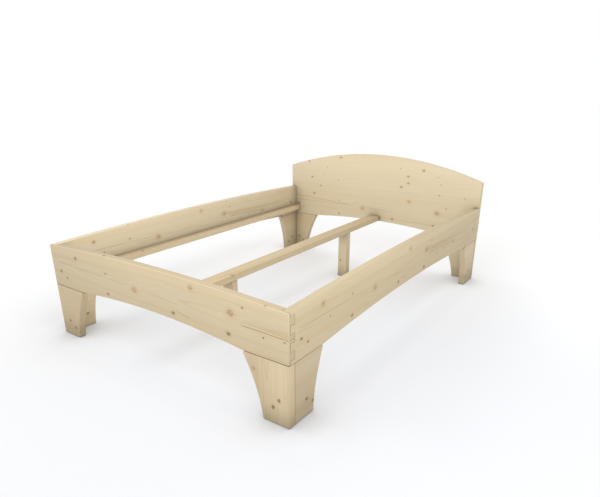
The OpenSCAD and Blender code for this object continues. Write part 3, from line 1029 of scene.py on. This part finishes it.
def paint_leg_end_board(corner, e, s, order):
    mat = wood(
        f"spruce_leg_{corner}_end",
        ((X, -s, OUT_X), (Z, 1, 0.0), (Y, 1, -e * OUT_Y)),
        LEG_END_KNOTS[corner],
        seed=33.0 + order,
        tone=LEG_END_TONES[corner],
        tones=(FLOOR_GLOW,),
        ends=LEG_CUT_END_TONES[corner],
        **LEG_LOOK,
    )
    dress(pieces[f"{corner}_leg_end_board"], mat)


def paint_leg_side_board(corner, e, s, order):
    # The near leg's side board gets painted light on its lower part.
    lower_light = ((ACROSS, 0.02, 0.17, 1.08, 1.0),) if corner == NEAR_LEG else ()
    mat = wood(
        f"spruce_leg_{corner}_side",
        ((Y, -e, IN_Y + SIDE_BOARD_START), (Z, 1, 0.0), (X, 1, -s * OUT_X)),
        LEG_SIDE_KNOTS[corner],
        seed=41.0 + order,
        tone=LEG_SIDE_TONES[corner],
        tones=(FLOOR_GLOW, *lower_light),
        **LEG_LOOK,
    )
    dress(pieces[f"{corner}_leg_side_board"], mat)


paint_foot_board()
paint_head_board()
for word, side in SIDES.items():
    paint_side_rail(word, side)
    paint_slat_cleat(word, side)
paint_centre_beam()
for end, y in CENTRE_LEG_Y.items():
    paint_centre_leg(end, y)
corners = [(end, word) for end in ENDS for word in SIDES]
for order, (end, word) in enumerate(corners):
    corner = f"{end}_{word}"
    if corner == NEAR_LEG:
        paint_near_leg_end_board()
    else:
        paint_leg_end_board(corner, ENDS[end], SIDES[word], order)
    paint_leg_side_board(corner, ENDS[end], SIDES[word], order)


# Beech, on the dowels of the CAD
BEECH_PALE, BEECH_DARK = rgb(186, 152, 114), rgb(160, 122, 86)
BEECH_STRETCH, BEECH_FLECKS, BEECH_ROUGH = (1.0, 1.0, 0.3), (0.4, 0.7), 0.6
BEECH_RELIEF = {"Strength": 0.2, "Distance": 0.0003}


def beech():
    t = Tree("beech")
    drawn_out = t.vec("MULTIPLY", t.place(), BEECH_STRETCH)
    fleck = t.noise(drawn_out, scale=700.0, detail=3.0, rough=0.6)
    colour = t.mix(t.smooth(fleck, *BEECH_FLECKS), BEECH_PALE, BEECH_DARK)
    bump = t.put("ShaderNodeBump", {"Height": fleck, **BEECH_RELIEF})
    shader = {"Base Color": colour, "Roughness": BEECH_ROUGH, "Normal": bump}
    return t.end("ShaderNodeBsdfPrincipled", shader)


dowel_wood = beech()
for name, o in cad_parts.items():
    if name.endswith("dowels"):
        dress(o, dowel_wood)

# The floor. Its tone and tint change slowly with the distance from a point under the bed, with painted
# shade near the bed, and it has painted light to the back. A ramp here is start, stop, in metres, and the
# number there and here.
FLOOR_RADIUS, FLOOR_SIDES, FLOOR_DROP = 60.0, 96, 0.0004
FLOOR_POINT = (0.4, -0.5, 0.0)
FLOOR_NEAR, FLOOR_FAR = (0.7, 2.4, 0.887, 0.968), (2.4, 6.0, 0.0, 0.03)
FLOOR_BEHIND = (-0.3, 1.2, 1.0, 1.07)
TINT_RUN, NEAR_TINT, FAR_TINT = (0.5, 2.6), (0.977, 1.0, 1.043, 1), (1.0, 1.002, 1.003, 1)
# Reach, depth and full tone of the soft shade under the frame, and at a contact
FLOOR_SHADE, CONTACT_SHADE = (0.35, 0.17, 1.015), (0.13, 0.2, 1.0)
# The light that the floor gives back, by the length of a ray that comes from the bed
LENT_LIGHT = (0.0, 0.5, 0.2, 0.83)
# The middle of a strip that has the shade of the beam already
BEAM_STRIP_X = -0.075


def shade_inside(t, x, y, from_middle):
    """Shade on the floor inside the frame, deeper to the head end."""
    past_beam = t.smooth(t.math("ABSOLUTE", t.math("SUBTRACT", x, BEAM_STRIP_X)), 0.05, 0.3)
    within_rails = t.smooth(from_middle, 0.69, 0.57)
    past_foot = t.smooth(y, -0.95, -0.8)
    before_head = t.smooth(y, 1.15, 0.8)
    depth = t.smooth(y, 0.0, 0.75, 0.055, 0.11)
    return t.times(past_beam, within_rails, past_foot, before_head, depth)


def shade_beside(t, x, y, from_middle):
    """A soft band of shade on the floor beside the rails, which starts nearer the head on the left."""
    band = t.times(t.smooth(from_middle, 0.82, 0.97), t.smooth(from_middle, 1.5, 1.0))
    start = t.smooth(x, -0.1, 0.1, 0.3, -1.0)
    past_start = t.smooth(t.math("SUBTRACT", y, start), 0.0, 0.4)
    depth = t.smooth(y, 1.4, 1.0, 0.0, 0.045)
    return t.times(band, past_start, depth)


def light_before(t, y, from_middle):
    """A faint light band on the floor under the foot board."""
    depth = t.smooth(y, -0.9, -0.98, 0.0, 0.03)
    return t.times(t.smooth(y, -1.18, -1.08), depth, t.smooth(from_middle, 0.95, 0.85))


def floor_tone(t, spot, away):
    x, y, _ = t.xyz(spot)
    from_middle = t.math("ABSOLUTE", x)
    tone = t.math("ADD", t.smooth(away, *FLOOR_NEAR), t.smooth(away, *FLOOR_FAR))
    tone = t.times(tone, t.smooth(y, *FLOOR_BEHIND), t.air(*FLOOR_SHADE), t.air(*CONTACT_SHADE))
    shade = t.math("ADD", shade_inside(t, x, y, from_middle), shade_beside(t, x, y, from_middle))
    shade = t.math("SUBTRACT", shade, light_before(t, y, from_middle))
    return t.math("MINIMUM", t.times(tone, t.math("SUBTRACT", 1.0, shade)), 1.0)


def floor_paint():
    """The floor looks pale to the camera, and lights the bed less than that, least from close by."""
    t = Tree("studio_floor")
    path = t.t.nodes.new("ShaderNodeLightPath")
    spot = t.place()
    away = t.vec("LENGTH", t.vec("SUBTRACT", spot, FLOOR_POINT))
    lent = t.smooth(path.outputs["Ray Length"], *LENT_LIGHT)
    seen = floor_tone(t, spot, away)
    tone = t.put("ShaderNodeMix", {0: path.outputs["Is Camera Ray"], 2: lent, 3: seen})
    tint = t.mix(t.smooth(away, *TINT_RUN), NEAR_TINT, FAR_TINT)
    return t.end("ShaderNodeBsdfDiffuse", {"Color": t.dim(tint, tone)})


def studio_floor():
    bm = bmesh.new()
    bmesh.ops.create_circle(bm, cap_ends=True, radius=FLOOR_RADIUS, segments=FLOOR_SIDES)
    floor = to_object(bm, "studio_floor")
    floor.location.z = -FLOOR_DROP
    floor.data.materials.append(floor_paint())
    return floor


floor = studio_floor()

# Light. The backdrop shows white, and lights the bed a little less than that.
SKY_LENT, SKY_WHITE = 0.9, (1.0, 1.0, 1.0, 1.0)


def studio_world():
    world = bpy.data.worlds.new("studio")
    bpy.context.scene.world = world
    world.use_nodes = True
    nodes, links = world.node_tree.nodes, world.node_tree.links
    sky = nodes["Background"]
    sky.inputs[0].default_value = SKY_WHITE
    seen = nodes.new("ShaderNodeLightPath")
    level = nodes.new("ShaderNodeMath")
    level.operation = "MULTIPLY_ADD"
    level.inputs[1].default_value = 1 - SKY_LENT
    level.inputs[2].default_value = SKY_LENT
    links.new(seen.outputs["Is Camera Ray"], level.inputs[0])
    links.new(level.outputs[0], sky.inputs[1])


def aim(o, target):
    o.rotation_euler = (target - o.location).to_track_quat("-Z", "Y").to_euler()


def lamp(name, kind, place, target, energy, size, shadow=True):
    """size is an angle in degrees for a sun and a side in metres for an area lamp."""
    light = bpy.data.lights.new(name, kind)
    light.energy, light.use_shadow = energy, shadow
    if kind == "SUN":
        light.angle = math.radians(size)
    else:
        light.size = size
    o = bpy.data.objects.new(name, light)
    o.location = place
    aim(o, Vector(target))
    bpy.context.scene.collection.objects.link(o)


studio_world()
MIDDLE = (0, 0, 0)
lamp("front", "SUN", (0, -3.0, 1.2), MIDDLE, energy=0.573, size=60, shadow=False)
lamp("right", "SUN", (3.0, 0, 0.6), MIDDLE, energy=0.173, size=60, shadow=False)
lamp("near", "AREA", (2.3, -1.7, 1.3), (0.3, -0.3, 0.3), energy=2.93, size=1.0, shadow=False)
lamp("key", "SUN", (-0.6, -3.0, 1.2), MIDDLE, energy=0.147, size=80)
lamp("inner", "AREA", (0.45, -0.9, 1.7), (-0.5, 0.5, 0.3), energy=6.1, size=0.8)

# The camera, solved from the photograph: place in metres, angles in degrees, shift and width in pixels
CAMERA_AT = (1.71583, -2.34485, 1.20018)
CAMERA_TILT, CAMERA_TURN, CAMERA_VIEW = 22.2975, 35.434, 60
PICTURE_SHIFT, PICTURE_WIDTH = 51.5, 600
SENSOR_WIDTH = 36.0


def studio_camera():
    cam = bpy.data.cameras.new("camera")
    cam.sensor_fit, cam.sensor_width = "HORIZONTAL", SENSOR_WIDTH
    cam.angle = math.radians(CAMERA_VIEW)
    cam.shift_y = PICTURE_SHIFT / PICTURE_WIDTH
    camera = bpy.data.objects.new("camera", cam)
    camera.location = CAMERA_AT
    camera.rotation_euler = (math.radians(90 - CAMERA_TILT), 0.0, math.radians(CAMERA_TURN))
    bpy.context.scene.collection.objects.link(camera)
    return camera


bpy.context.scene.camera = studio_camera()
bpy.context.scene.view_settings.view_transform = "Standard"
